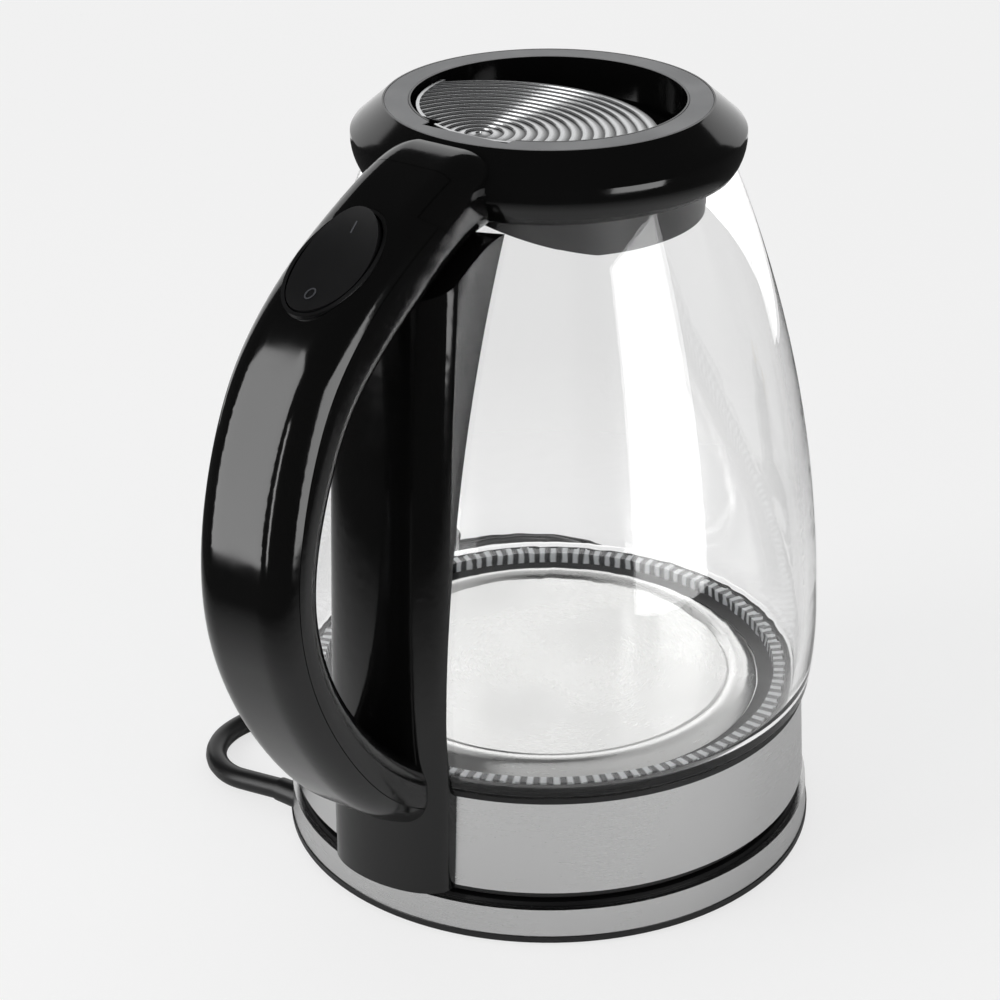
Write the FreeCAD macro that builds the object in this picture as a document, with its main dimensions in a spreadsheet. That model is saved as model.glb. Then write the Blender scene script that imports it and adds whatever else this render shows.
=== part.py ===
# Electric kettle with a glass jug, an arched handle with a rocker switch, a hinged lid
# and a separate power base with its cord.  Millimetres.
#
# Frame: the kettle's own axis is Z, the surface that the feet stand on is Z = 0, the
# handle points along -X and the spout along +X.
import FreeCAD, Part
import math
import os
import sys

import Sketcher
from FreeCAD import Placement, Rotation, Vector

doc = FreeCAD.newDocument("ElectricKettle")
sheet = doc.addObject("Spreadsheet::Sheet", "Dimensions")


class Size:
    # A length that knows both its value and the sheet expression it comes from.
    def __init__(self, value, text):
        self.value = value
        self.text = text

    def join(self, other, sign, value):
        return Size(value, "(%s %s %s)" % (self.text, sign, sized(other).text))

    def __add__(self, other):
        return self.join(other, "+", self.value + sized(other).value)

    def __sub__(self, other):
        return self.join(other, "-", self.value - sized(other).value)

    def __mul__(self, other):
        return self.join(other, "*", self.value * sized(other).value)

    def __truediv__(self, other):
        return self.join(other, "/", self.value / sized(other).value)


def sized(number):
    return number if isinstance(number, Size) else Size(float(number), "%.6f" % number)


class Dimensions:
    # Every driving dimension, by its name in the sheet.
    pass


dim = Dimensions()

driving_dimensions = [
    # power base
    ("base_radius", 77.5, "outer radius of the base pan's rim"),
    ("foot_height", 0.8, "gap that the rubber feet keep under the pan"),
    ("foot_radius", 7.0, "rubber foot"),
    ("foot_circle", 60.0, "radius of the circle that the feet stand on"),
    ("foot_depth", 1.0, "how far a foot sits in the pan's floor"),
    ("pan_rim_top", 2.6, "top of the pan's black rim"),
    ("pan_floor", 2.0, "thickness of the pan's floor"),
    ("pan_wall_top", 9.0, "top of the wall inside the steel skirt"),
    ("skirt_top", 11.0, "top of the steel skirt"),
    ("skirt_wall", 0.6, "steel skirt sheet"),
    ("deck_top", 12.0, "top of the base's black cover"),
    ("deck_wall", 2.0, "thickness of the cover"),
    ("deck_radius", 74.7, "cover, just inside the skirt's lip"),
    ("tower_radius", 16.0, "round connector in the middle of the base"),
    ("tower_top", 22.0, "top of the connector"),
    # jug
    ("seat_clearance", 0.1, "gap between the jug's rest ring and the base"),
    ("band_bottom", 15.9, "lower edge of the steel band"),
    ("band_top", 44.2, "upper edge of the steel band"),
    ("band_radius_low", 75.6, "steel band at its lower edge"),
    ("band_radius_high", 74.2, "steel band at its upper edge"),
    ("band_wall", 0.6, "steel band sheet"),
    ("plate_radius", 73.4, "heating plate's flange"),
    ("plate_dish_radius", 59.3, "raised middle of the heating plate"),
    ("plate_bead_width", 6.6, "bead round the heating plate's middle"),
    ("plate_top", 46.8, "top of the heating plate's middle"),
    ("plate_wall", 0.8, "heating plate sheet"),
    ("glass_bottom", 46.0, "foot of the glass"),
    ("glass_top", 206.0, "rim of the glass"),
    ("glass_wall", 3.4, "thickness of the glass"),
    ("glass_widest", 77.6, "outer radius of the glass at its widest"),
    ("glass_arc_height", 61.5, "height of the centre of the glass's long arc"),
    ("glass_arc_radius", 367.6, "radius of the glass's long arc"),
    ("glass_shoulder", 72.0, "height where the long arc starts"),
    # collar and lid
    ("collar_top", 219.0, "flat ring at the top of the collar"),
    ("collar_widest", 53.3, "widest radius of the collar"),
    ("collar_bottom", 201.5, "lower edge of the collar's wall"),
    ("collar_ring_outer", 44.6, "outer radius of the flat top ring"),
    ("mouth_radius", 37.0, "filling hole"),
    ("mouth_wall", 2.2, "wall of the filling hole"),
    ("sleeve_radius", 42.4, "black sleeve inside the glass neck"),
    ("sleeve_wall", 2.4, "wall of the sleeve"),
    ("sleeve_bottom", 191.5, "lower edge of the sleeve"),
    ("lid_gap", 1.5, "gap around the lid"),
    ("lid_top", 217.6, "top of the ridged lid plate"),
    ("lid_plate_wall", 1.7, "ridged plate, over its ridges"),
    ("ridge_pitch", 2.9, "distance from ridge to ridge"),
    ("ridge_depth", 0.5, "depth of the grooves"),
    ("ridge_offset", 31.7, "centre of the ridges, from the lid's middle toward the handle"),
    ("ridge_outer", 47.0, "outermost ridge's radius"),
    ("lid_floor_top", 208.0, "floor of the finger pocket"),
    ("lid_floor_wall", 2.5, "thickness of that floor"),
    ("hinge_reach", 34.6, "lid hinge axis, from the kettle's axis"),
    ("hinge_height", 214.9, "lid hinge axis, above the table"),
    ("hinge_pin_radius", 1.25, "lid hinge pin"),
    # handle
    ("grip_half_width", 16.0, "half the width of the grip"),
    ("grip_cover_depth", 6.0, "how far the outer cover wraps round the grip"),
    ("grip_wall", 2.2, "wall of the grip's shells"),
    ("seam_gap", 0.2, "gap along the seam of the grip's shells"),
    ("column_half_width", 19.5, "half the width of the handle's column"),
    ("column_bulge", 9.5, "how far the column's front bulges"),
    ("column_bottom", 15.2, "lower end of the column"),
    ("column_wall", 2.4, "wall of the column"),
    ("switch_half_length", 18.0, "oval switch opening, along the grip"),
    ("switch_half_width", 11.5, "oval switch opening, across the grip"),
    ("switch_gap", 1.6, "black gap round the rocker button"),
    # cord
    ("cord_diameter", 6.4, "power cord"),
]
for row, (alias, value, note) in enumerate(driving_dimensions, start=1):
    sheet.set("A%d" % row, alias)
    sheet.set("B%d" % row, "%g" % value)
    sheet.set("C%d" % row, note)
    sheet.setAlias("B%d" % row, alias)
    setattr(dim, alias, Size(value, "Dimensions.%s" % alias))
doc.recompute()

pieces = []


def keep(thing, node):
    # Marks an object as one of the kettle's pieces; its label names its file.
    thing.Label = node
    pieces.append(thing)
    return thing


def bind(thing, **sizes):
    for name, size in sizes.items():
        thing.setExpression(name, sized(size).text)
    return thing


def origin_plane(body, role):
    for feature in body.Origin.OriginFeatures:
        if feature.Role == role:
            return feature
    raise ValueError(role)


def arc_middle(start, end, radius):
    # Middle of an arc; a positive radius bulges to the right of the way from start to end.
    chord = end - start
    half = chord.Length / 2
    sagitta = abs(radius) - math.sqrt(radius * radius - half * half)
    side = Vector(chord.y, -chord.x, 0).normalize()
    return (start + end) * 0.5 + side * math.copysign(sagitta, radius)


def profile_sketch(body, name, outline):
    # A closed outline of (radius, height) points in the XZ plane.  A third item in a point
    # is the radius of the arc that leads from it to the next point.
    sketch = body.newObject("Sketcher::SketchObject", name)
    sketch.AttachmentSupport = [(origin_plane(body, "XZ_Plane"), "")]
    sketch.MapMode = "FlatFace"
    corners = [Vector(sized(item[0]).value, sized(item[1]).value, 0) for item in outline]
    heads = []
    for index, item in enumerate(outline):
        start, end = corners[index], corners[(index + 1) % len(corners)]
        if len(item) > 2:
            radius = sized(item[2]).value
            sketch.addGeometry(Part.Arc(start, arc_middle(start, end, radius), end), False)
        else:
            sketch.addGeometry(Part.LineSegment(start, end), False)
        forward = (sketch.getPoint(index, 1) - start).Length < 1e-6
        heads.append((1, 2) if forward else (2, 1))
    for index, item in enumerate(outline):
        after = (index + 1) % len(outline)
        sketch.addConstraint(Sketcher.Constraint("Coincident", index, heads[index][1], after, heads[after][0]))
        for kind, axis, size in (("DistanceX", -2, item[0]), ("DistanceY", -1, item[1])):
            size = sized(size)
            if abs(size.value) < 1e-9:
                sketch.addConstraint(Sketcher.Constraint("PointOnObject", index, heads[index][0], axis))
                continue
            number = sketch.addConstraint(
                Sketcher.Constraint(kind, -1, 1, index, heads[index][0], size.value))
            sketch.setExpression("Constraints[%d]" % number, size.text)
        if len(item) > 2:
            size = sized(item[2])
            number = sketch.addConstraint(Sketcher.Constraint("Radius", index, abs(size.value)))
            sketch.setExpression("Constraints[%d]" % number, "abs(%s)" % size.text)
    return sketch


def turned(node, outline):
    # A body of revolution about the kettle's axis.
    body = doc.addObject("PartDesign::Body", "Body_" + node)
    sketch = profile_sketch(body, "Profile_" + node, outline)
    spin = body.newObject("PartDesign::Revolution", "Revolve_" + node)
    spin.Profile = sketch
    spin.ReferenceAxis = (sketch, ["V_Axis"])
    spin.Angle = 360
    doc.recompute()
    return body


def ring(node, inner, outer, low, high):
    return turned(node, [(inner, low), (outer, low), (outer, high), (inner, high)])


def cylinder(name, radius, height, low, x=0, y=0):
    part = doc.addObject("Part::Cylinder", name)
    bind(part, Radius=radius, Height=height)
    part.setExpression("Placement.Base.x", sized(x).text)
    part.setExpression("Placement.Base.y", sized(y).text)
    part.setExpression("Placement.Base.z", sized(low).text)
    return part


def lying_cylinder(name, radius, half_length, x, z, y=0):
    # A cylinder along Y, centred on y.
    part = doc.addObject("Part::Cylinder", name)
    bind(part, Radius=radius, Height=sized(half_length) * 2)
    part.Placement = Placement(Vector(0, 0, 0), Rotation(Vector(1, 0, 0), -90))
    part.setExpression("Placement.Base.x", sized(x).text)
    part.setExpression("Placement.Base.y", (sized(y) - half_length).text)
    part.setExpression("Placement.Base.z", sized(z).text)
    return part


def box(name, low, high):
    # A box between two corners, each a triple of sizes.
    part = doc.addObject("Part::Box", name)
    low = [sized(item) for item in low]
    high = [sized(item) for item in high]
    bind(part, Length=high[0] - low[0], Width=high[1] - low[1], Height=high[2] - low[2])
    for axis, item in zip("xyz", low):
        part.setExpression("Placement.Base." + axis, item.text)
    return part


def fused(name, things):
    part = doc.addObject("Part::MultiFuse", name)
    part.Shapes = things
    return part


def cut(name, base, tools):
    part = doc.addObject("Part::Cut", name)
    part.Base = base
    part.Tool = tools[0] if len(tools) == 1 else fused(name + "_tools", tools)
    return part


def common(name, things):
    part = doc.addObject("Part::MultiCommon", name)
    part.Shapes = things
    return part


def shaped(node, shape, place=Placement()):
    # A piece whose shape this file works out from the sheet's values.
    part = doc.addObject("Part::Feature", "Shape_" + node)
    part.Shape = shape
    part.Placement = place
    return part


def on_circle(count, radius, first=0.0):
    # Evenly spaced places round the kettle's axis, as sizes.
    for index in range(count):
        angle = math.radians(first + 360.0 * index / count)
        yield index + 1, radius * math.cos(angle), radius * math.sin(angle)


# ---------------------------------------------------------------- power base
pan_bottom = dim.foot_height
pan_floor_top = pan_bottom + dim.pan_floor
pan_wall_outer = dim.base_radius - 1.6
pan_wall_inner = pan_wall_outer - 2.0

pan = turned("base_pan_blank", [
    (0, pan_bottom), (dim.base_radius, pan_bottom), (dim.base_radius, dim.pan_rim_top),
    (pan_wall_outer, dim.pan_rim_top), (pan_wall_outer, dim.pan_wall_top),
    (pan_wall_inner, dim.pan_wall_top), (pan_wall_inner, pan_floor_top), (0, pan_floor_top)])
foot_pockets = []
for number, x, y in on_circle(3, dim.foot_circle, 30):
    foot_pockets.append(cylinder("foot_pocket_%d" % number, dim.foot_radius, dim.foot_depth + 1,
                                 dim.foot_height - 1, x, y))
    keep(cylinder("foot_%d" % number, dim.foot_radius - 0.05, dim.foot_height + dim.foot_depth, 0, x, y),
         "base_foot_%d" % number)

# The cord leaves the base through its rim, at this place and in this direction (along +Y).
cord_radius = dim.cord_diameter / 2
exit_x = -50.4
relief_start, relief_end, relief_height = 38.0, 63.0, 5.4
relief_wide, relief_narrow = 4.2, 3.6
relief_tunnel = shaped("relief_tunnel", Part.makeCylinder(
    relief_wide + 0.05, 50.0, Vector(exit_x, relief_start - 0.4, relief_height), Vector(0, 1, 0)))

base_screw_places = list(on_circle(3, sized(40.0), 90))
screw_holes = [cylinder("pan_screw_hole_%d" % number, 1.7, 6, pan_bottom - 1, x, y)
               for number, x, y in base_screw_places]
keep(cut("base_pan_cut", pan, foot_pockets + screw_holes + [relief_tunnel]), "base_pan")

skirt_outer_low = dim.base_radius - 0.3
skirt_outer_high = dim.base_radius - 0.8
skirt = turned("base_skirt_blank", [
    (skirt_outer_low, dim.pan_rim_top), (skirt_outer_high, dim.skirt_top),
    (dim.deck_radius + 0.2, dim.skirt_top), (dim.deck_radius + 0.2, dim.skirt_top - dim.skirt_wall),
    (skirt_outer_high - dim.skirt_wall, dim.skirt_top - dim.skirt_wall),
    (skirt_outer_low - dim.skirt_wall, dim.pan_rim_top)])
keep(cut("base_skirt_cut", skirt, [relief_tunnel]), "base_skirt")

deck_under = dim.deck_top - dim.deck_wall
tower_hole = dim.tower_radius + 0.3
deck = turned("base_deck_blank", [
    (tower_hole, deck_under), (dim.deck_radius - 1.8, deck_under), (dim.deck_radius - 1.8, dim.pan_wall_top),
    (dim.deck_radius, dim.pan_wall_top), (dim.deck_radius, dim.deck_top - 0.6),
    (dim.deck_radius - 0.6, dim.deck_top), (tower_hole, dim.deck_top)])
# Three posts under the deck take the base's screws.
posts = []
for number, x, y in base_screw_places:
    post = cylinder("deck_post_%d" % number, 4.0, deck_under - pan_floor_top + 0.5, pan_floor_top, x, y)
    posts.append(cut("deck_post_bored_%d" % number, post,
                     [cylinder("deck_post_bore_%d" % number, 1.55, 5.5, pan_floor_top, x, y)]))
keep(cut("base_deck_cut", fused("base_deck_fused", [deck] + posts), [relief_tunnel]), "base_deck")
for number, x, y in base_screw_places:
    head = cylinder("base_screw_head_%d" % number, 3.0, 0.7, pan_bottom - 0.7, x, y)
    shank = cylinder("base_screw_shank_%d" % number, 1.5, 6.5, pan_bottom, x, y)
    keep(fused("base_screw_fused_%d" % number, [head, shank]), "base_screw_%d" % number)

# Round connector: a tower with a bore for the earth pin and a ring slot for the live ring.
slot_inner, slot_outer, slot_floor = 8.0, 11.0, deck_under + 2.0
bore_radius, bore_floor = 4.2, deck_under - 1.0
flange_radius = dim.tower_radius + 6.0
flange_under = deck_under - 2.0
keep(turned("connector_socket_body", [
    (0, flange_under), (flange_radius, flange_under), (flange_radius, deck_under),
    (dim.tower_radius, deck_under), (dim.tower_radius, dim.tower_top - 1.0),
    (dim.tower_radius - 1.0, dim.tower_top), (slot_outer, dim.tower_top), (slot_outer, slot_floor),
    (slot_inner, slot_floor), (slot_inner, dim.tower_top), (bore_radius, dim.tower_top),
    (bore_radius, bore_floor), (0, bore_floor)]), "connector_socket")
keep(ring("contact_core_body", bore_radius - 1.6, bore_radius - 0.05, bore_floor, dim.tower_top - 4.0),
     "contact_core")
keep(ring("contact_inner_body", slot_inner + 0.05, slot_inner + 0.7, slot_floor, dim.tower_top - 2.0),
     "contact_ring_inner")
keep(ring("contact_outer_body", slot_outer - 0.7, slot_outer - 0.05, slot_floor, dim.tower_top - 2.0),
     "contact_ring_outer")

# ---------------------------------------------------------------- jug, lower part
cover_under = dim.deck_top + 0.7
cover_floor_top = cover_under + 2.0
cover_radius = dim.band_radius_low - 1.8
rest_inner, rest_outer = 62.0, 66.0
rest_under = dim.deck_top + dim.seat_clearance
plug_cup = dim.tower_radius + 2.0
cover = turned("jug_cover_blank", [
    (plug_cup, cover_under), (rest_inner, cover_under), (rest_inner, rest_under), (rest_outer, rest_under),
    (rest_outer, cover_under), (cover_radius - 0.8, cover_under), (cover_radius, cover_under + 0.8),
    (cover_radius, dim.band_bottom), (cover_radius + 0.8, dim.band_bottom),
    (cover_radius + 0.8, dim.band_bottom + 4.0), (cover_radius - 0.9, dim.band_bottom + 4.0),
    (cover_radius - 0.9, cover_floor_top), (plug_cup, cover_floor_top)])
carrier_outer = cover_radius - 1.1
carrier_inner = carrier_outer - 2.2
plate_flange_top = dim.plate_top - 2.4
plate_flange_under = plate_flange_top - dim.plate_wall
jug_screw_places = list(on_circle(3, sized(55.0), 0))
jug_screw_holes = [cylinder("cover_screw_hole_%d" % number, 1.7, 6, cover_under - 1, x, y)
                   for number, x, y in jug_screw_places]
jug_head_holes = [cylinder("cover_head_hole_%d" % number, 3.3, 1.9, cover_under - 1, x, y)
                  for number, x, y in jug_screw_places]
keep(cut("jug_cover_cut", cover, jug_screw_holes + jug_head_holes), "jug_bottom_cover")

carrier_wall = ring("carrier_wall", carrier_inner, carrier_outer, cover_floor_top, plate_flange_under)
carrier_web = ring("carrier_web", 50.0, carrier_inner + 0.5, cover_floor_top + 8.0, cover_floor_top + 10.0)
carrier_posts = []
carrier_bores = []
for number, x, y in jug_screw_places:
    carrier_posts.append(cylinder("carrier_post_%d" % number, 4.0, 9.0, cover_floor_top, x, y))
    carrier_bores.append(cylinder("carrier_bore_%d" % number, 1.55, 8.0, cover_floor_top - 0.1, x, y))
keep(cut("carrier_cut", fused("carrier_fused", [carrier_wall, carrier_web] + carrier_posts), carrier_bores),
     "heater_carrier")
for number, x, y in jug_screw_places:
    head = cylinder("jug_screw_head_%d" % number, 3.1, 0.8, cover_under + 0.1, x, y)
    shank = cylinder("jug_screw_shank_%d" % number, 1.5, 8.0, cover_under + 0.9, x, y)
    keep(fused("jug_screw_fused_%d" % number, [head, shank]), "jug_screw_%d" % number)

keep(turned("steel_band_body", [
    (dim.band_radius_low - dim.band_wall, dim.band_bottom), (dim.band_radius_low, dim.band_bottom),
    (dim.band_radius_high, dim.band_top), (dim.band_radius_high - dim.band_wall, dim.band_top)]),
    "steel_band")

# Jug half of the connector: cup, earth pin and live ring.
cup_top = dim.tower_top + 4.0
cup_ceiling = cup_top - 2.0
cup_inner = dim.tower_radius + 0.6
keep(turned("connector_plug_body", [
    (cup_inner, cover_under + 0.3), (plug_cup - 0.2, cover_under + 0.3), (plug_cup - 0.2, cover_floor_top),
    (plug_cup + 4.0, cover_floor_top), (plug_cup + 4.0, cover_floor_top + 2.0),
    (plug_cup + 1.0, cover_floor_top + 2.0), (plug_cup + 1.0, cup_top), (0, cup_top),
    (0, cup_ceiling), (cup_inner, cup_ceiling)]), "connector_plug")
keep(turned("earth_pin_body", [(0, cup_ceiling - 9.0), (1.4, cup_ceiling - 9.0), (2.2, cup_ceiling - 8.0),
                               (2.2, cup_ceiling), (0, cup_ceiling)]), "connector_pin")
keep(ring("live_ring_body", slot_inner + 1.2, slot_inner + 1.8, cup_ceiling - 8.0, cup_ceiling),
     "connector_ring")

controller_top = cup_top + 12.0
keep(box("controller_box", (-20, -15, cup_top), (20, 15, controller_top)), "thermostat_block")

plate_under = dim.plate_top - dim.plate_wall
keep(turned("heating_plate_body", [
    (0, plate_under), (dim.plate_dish_radius - 0.4, plate_under),
    (dim.plate_dish_radius + 1.8, plate_flange_under), (dim.plate_radius, plate_flange_under),
    (dim.plate_radius, plate_flange_top), (dim.plate_dish_radius + 2.2, plate_flange_top),
    (dim.plate_dish_radius, dim.plate_top - 0.4, 4.2), (dim.plate_dish_radius - dim.plate_bead_width, dim.plate_top - 0.4),
    (dim.plate_dish_radius - dim.plate_bead_width - 0.6, dim.plate_top), (0, dim.plate_top)]), "heating_plate")
heater_under = plate_under - 6.0
keep(turned("heater_body", [(41, heater_under + 1.5), (42.5, heater_under), (47.5, heater_under),
                            (49, heater_under + 1.5), (49, plate_under), (41, plate_under)]),
     "heater_element")
for side, sign in (("left", 1), ("right", -1)):
    keep(box("terminal_" + side, (42.8, sign * 9.0 - 3.0, heater_under - 6.0),
             (44.2, sign * 9.0 + 3.0, heater_under)), "heater_terminal_" + side)

# Seal under the glass, with a lip inside its foot.
seal_inner = dim.plate_radius - 3.0
trough_inner = dim.plate_dish_radius + 2.6
trough_lining = 0.6
glass_foot_outer = dim.glass_widest - 2.6
glass_foot_inner = glass_foot_outer - dim.glass_wall - 0.4
keep(turned("glass_seal_body", [
    (trough_inner, plate_flange_top), (glass_foot_outer + 0.3, plate_flange_top),
    (glass_foot_outer + 0.3, dim.glass_bottom), (glass_foot_inner - 0.1, dim.glass_bottom),
    (glass_foot_inner - 0.1, dim.glass_bottom + 2.2), (seal_inner, dim.glass_bottom + 2.2),
    (seal_inner, plate_flange_top + trough_lining), (trough_inner, plate_flange_top + trough_lining)]), "glass_seal")

# Ring with ticks that spreads the light at the foot of the glass.
tick_count = 72
light_inner = dim.plate_dish_radius.value + 7.2
light_outer = seal_inner.value - 0.2
light_low, light_high = plate_flange_top.value + trough_lining, plate_flange_top.value + 4.0
tick_depth = 0.6
corners = []
for index in range(tick_count):
    for share, radius in ((0.0, light_outer), (0.5, light_outer), (0.5, light_outer - tick_depth),
                          (1.0, light_outer - tick_depth)):
        angle = 2 * math.pi * (index + share) / tick_count
        corners.append(Vector(radius * math.cos(angle), radius * math.sin(angle), light_low))
toothed = Part.Face(Part.makePolygon(corners + corners[:1])).extrude(Vector(0, 0, light_high - light_low))
hollow = Part.makeCylinder(light_inner, 10, Vector(0, 0, light_low - 1))
keep(shaped("light_ring", toothed.cut(hollow)), "light_ring")

# ---------------------------------------------------------------- glass
arc_centre_radius = dim.glass_widest - dim.glass_arc_radius


def glass_radius(height, inset=0.0):
    # Outer radius of the glass at a height on its long arc.
    reach = dim.glass_arc_radius.value - inset
    return arc_centre_radius.value + math.sqrt(reach ** 2 - (height - dim.glass_arc_height.value) ** 2)


foot_arc = 121.0


def long_arc_point(height, inset):
    # The same radius as a size bound to the sheet.
    reach = dim.glass_arc_radius - inset
    rise = height - dim.glass_arc_height
    value = glass_radius(height.value, inset.value)
    text = "(%s + sqrt(%s * %s - %s * %s))" % (arc_centre_radius.text, reach.text, reach.text,
                                              rise.text, rise.text)
    return Size(value, text)


no_inset = sized(0.0)
shoulder_outer = long_arc_point(dim.glass_shoulder, no_inset)
shoulder_inner = long_arc_point(dim.glass_shoulder, dim.glass_wall)
rim_outer = long_arc_point(dim.glass_top, no_inset)
rim_inner = long_arc_point(dim.glass_top, dim.glass_wall)
foot_outer_high = dim.glass_widest - 1.3
glass_blank = turned("glass_blank", [
    (glass_foot_inner, dim.glass_bottom), (glass_foot_outer, dim.glass_bottom),
    (foot_outer_high, dim.glass_bottom + 1.4, foot_arc),
    (shoulder_outer, dim.glass_shoulder, dim.glass_arc_radius),
    (rim_outer, dim.glass_top), (rim_inner, dim.glass_top, (dim.glass_arc_radius - dim.glass_wall) * -1),
    (shoulder_inner, dim.glass_shoulder, sized(-foot_arc + 3.4)),
    (foot_outer_high - dim.glass_wall, dim.glass_bottom + 3.0)])

# ---------------------------------------------------------------- collar ring and sleeve
rib_under = dim.glass_top + 3.2
mouth_outer = dim.mouth_radius + dim.mouth_wall
lip_under = dim.collar_bottom - 0.8
lip_top = lip_under + 2.0
shell_low = long_arc_point(dim.collar_bottom, no_inset)
collar_wall_arc, collar_edge_drop = 15.0, 7.8
collar_blank = turned("collar_blank", [
    (shell_low + 0.2, dim.collar_bottom), (shell_low + 0.9, dim.collar_bottom, collar_wall_arc),
    (dim.collar_widest, dim.collar_top - collar_edge_drop), (dim.collar_widest - 0.4, dim.collar_top - collar_edge_drop + 0.6),
    (dim.collar_ring_outer + 0.3, dim.collar_top - 0.3), (dim.collar_ring_outer, dim.collar_top),
    (dim.collar_ring_outer - 0.5, dim.collar_top), (dim.collar_ring_outer - 0.5, dim.collar_top - 0.3),
    (dim.mouth_radius + 0.5, dim.collar_top - 0.3), (dim.mouth_radius + 0.5, dim.collar_top),
    (dim.mouth_radius, dim.collar_top), (dim.mouth_radius, lip_top), (dim.mouth_radius - 3.0, lip_top),
    (dim.mouth_radius - 3.0, lip_under), (mouth_outer, lip_under), (mouth_outer, dim.collar_top - 4.5),
    (dim.collar_ring_outer - 0.6, dim.collar_top - 4.5), (dim.collar_ring_outer - 0.6, rib_under),
    (dim.collar_ring_outer + 1.4, rib_under), (dim.collar_ring_outer + 1.4, dim.collar_top - 4.5),
    (dim.collar_widest - 3.0, dim.collar_top - 7.5), (dim.collar_widest - 3.4, dim.glass_top + 1.0)])

sleeve_inner = dim.sleeve_radius - dim.sleeve_wall
flange_low = dim.glass_top + 1.2
sleeve_blank = turned("sleeve_blank", [
    (sleeve_inner + 1.4, dim.sleeve_bottom - 2.3), (dim.sleeve_radius - 0.2, dim.sleeve_bottom - 2.3),
    (dim.sleeve_radius - 0.2, dim.sleeve_bottom), (dim.sleeve_radius, dim.sleeve_bottom),
    (dim.sleeve_radius, flange_low), (rim_outer + 0.2, flange_low), (rim_outer + 0.2, rib_under),
    (sleeve_inner, rib_under), (sleeve_inner, dim.sleeve_bottom), (sleeve_inner + 1.4, dim.sleeve_bottom)])
keep(ring("collar_seal_body", rim_inner + 0.2, rim_outer, dim.glass_top, flange_low), "collar_seal")

# Steam inlet: the sleeve's lower edge rises toward the handle.
notch_half, notch_rise = 26.5, 8.5
notch_low = dim.sleeve_bottom.value - 3.0
notch = Part.Face(Part.makePolygon([
    Vector(0, -notch_half - 9, notch_low), Vector(0, notch_half + 9, notch_low),
    Vector(0, 0, dim.sleeve_bottom.value + notch_rise), Vector(0, -notch_half - 9, notch_low)]))
steam_notch = shaped("steam_notch", notch.extrude(Vector(-60, 0, 0)))

# ---------------------------------------------------------------- spout
def beak(near, far):
    # Loft between two sections across the spout, each (x, half width, low, high).
    wires = []
    for x, half, low, high in (near, far):
        flank = low + 0.25 * (high - low)
        points = [Vector(x, -half, high), Vector(x, -half * 0.75, flank), Vector(x, -half * 0.35, low),
                  Vector(x, half * 0.35, low), Vector(x, half * 0.75, flank), Vector(x, half, high)]
        wires.append(Part.makePolygon(points + points[:1]))
    return Part.makeLoft(wires, True, True)


collar_foot, rim_height = dim.collar_bottom.value, dim.glass_top.value
spout_top = dim.collar_top.value - 10.5
spout_outside = beak((46.0, 18.0, collar_foot - 8.0, spout_top), (64.0, 6.0, collar_foot - 1.0, spout_top))
spout_channel = beak((39.5, 16.2, collar_foot - 6.1, rim_height - 2.6),
                     (68.0, 2.5, collar_foot + 2.5, rim_height + 1.0))
channel_tool = shaped("channel_tool", spout_channel)

keep(cut("glass_cut", glass_blank, [channel_tool]), "glass_jug")
keep(cut("sleeve_cut", sleeve_blank, [channel_tool, steam_notch]), "neck_sleeve")
doc.recompute()


# ---------------------------------------------------------------- handle
def jug_envelope(gap):
    # Solid of everything that the handle lies against: band, seal and glass, grown by a gap.
    top = dim.collar_bottom.value + 8.0
    foot = glass_foot_outer.value + 0.3 + gap
    shoulder = dim.glass_shoulder.value
    corners = [(0, 5.0), (dim.band_radius_low.value + gap, 5.0),
               (dim.band_radius_low.value + gap, dim.band_bottom.value),
               (dim.band_radius_high.value + gap, dim.band_top.value), (foot, dim.band_top.value),
               (foot, dim.glass_bottom.value), (foot_outer_high.value + gap, dim.glass_bottom.value + 1.4)]
    points = [Vector(radius, 0, height) for radius, height in corners]
    edges = [Part.LineSegment(first, last).toShape() for first, last in zip(points, points[1:])]
    shoulder_point = Vector(glass_radius(shoulder, -gap), 0, shoulder)
    top_point = Vector(glass_radius(top, -gap), 0, top)
    for first, last, radius in ((points[-1], shoulder_point, foot_arc),
                                (shoulder_point, top_point, dim.glass_arc_radius.value + gap)):
        flat = [Vector(point.x, point.z, 0) for point in (first, last)]
        middle = arc_middle(flat[0], flat[1], radius)
        edges.append(Part.Arc(first, Vector(middle.x, 0, middle.y), last).toShape())
    edges.append(Part.LineSegment(top_point, Vector(0, 0, top)).toShape())
    edges.append(Part.LineSegment(Vector(0, 0, top), points[0]).toShape())
    return Part.Face(Part.Wire(edges)).revolve(Vector(0, 0, 0), Vector(0, 0, 1), 360)


# Outer edge of the grip in its plane: distance from the kettle's axis, height, thickness.
grip_line = [
    (47.0, 218.6, 20.0), (58.5, 217.2, 20.0), (71.1, 212.3, 20.0), (82.5, 206.8, 20.5),
    (95.5, 199.3, 20.5), (107.0, 190.4, 20.0), (117.2, 179.2, 19.0), (124.8, 165.8, 18.0),
    (130.4, 150.4, 17.0), (133.6, 135.0, 16.0), (134.2, 120.0, 15.5), (131.6, 103.5, 15.5),
    (125.6, 87.0, 15.8), (116.5, 70.5, 16.5), (104.5, 54.5, 17.5), (90.0, 41.5, 18.0),
    (74.0, 31.0, 18.0)]


def grip_frames():
    # At each place on the line: the point, the way along the grip and the way outward.
    frames = []
    for index, (reach, height, depth) in enumerate(grip_line):
        before = grip_line[max(index - 1, 0)]
        after = grip_line[min(index + 1, len(grip_line) - 1)]
        along = Vector(-(after[0] - before[0]), 0, after[1] - before[1]).normalize()
        outward = Vector(along.z, 0, -along.x)
        if outward.x > 0 and outward.z < 0:
            outward = outward * -1
        frames.append((Vector(-reach, 0, height), along, outward, depth))
    return frames


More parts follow.
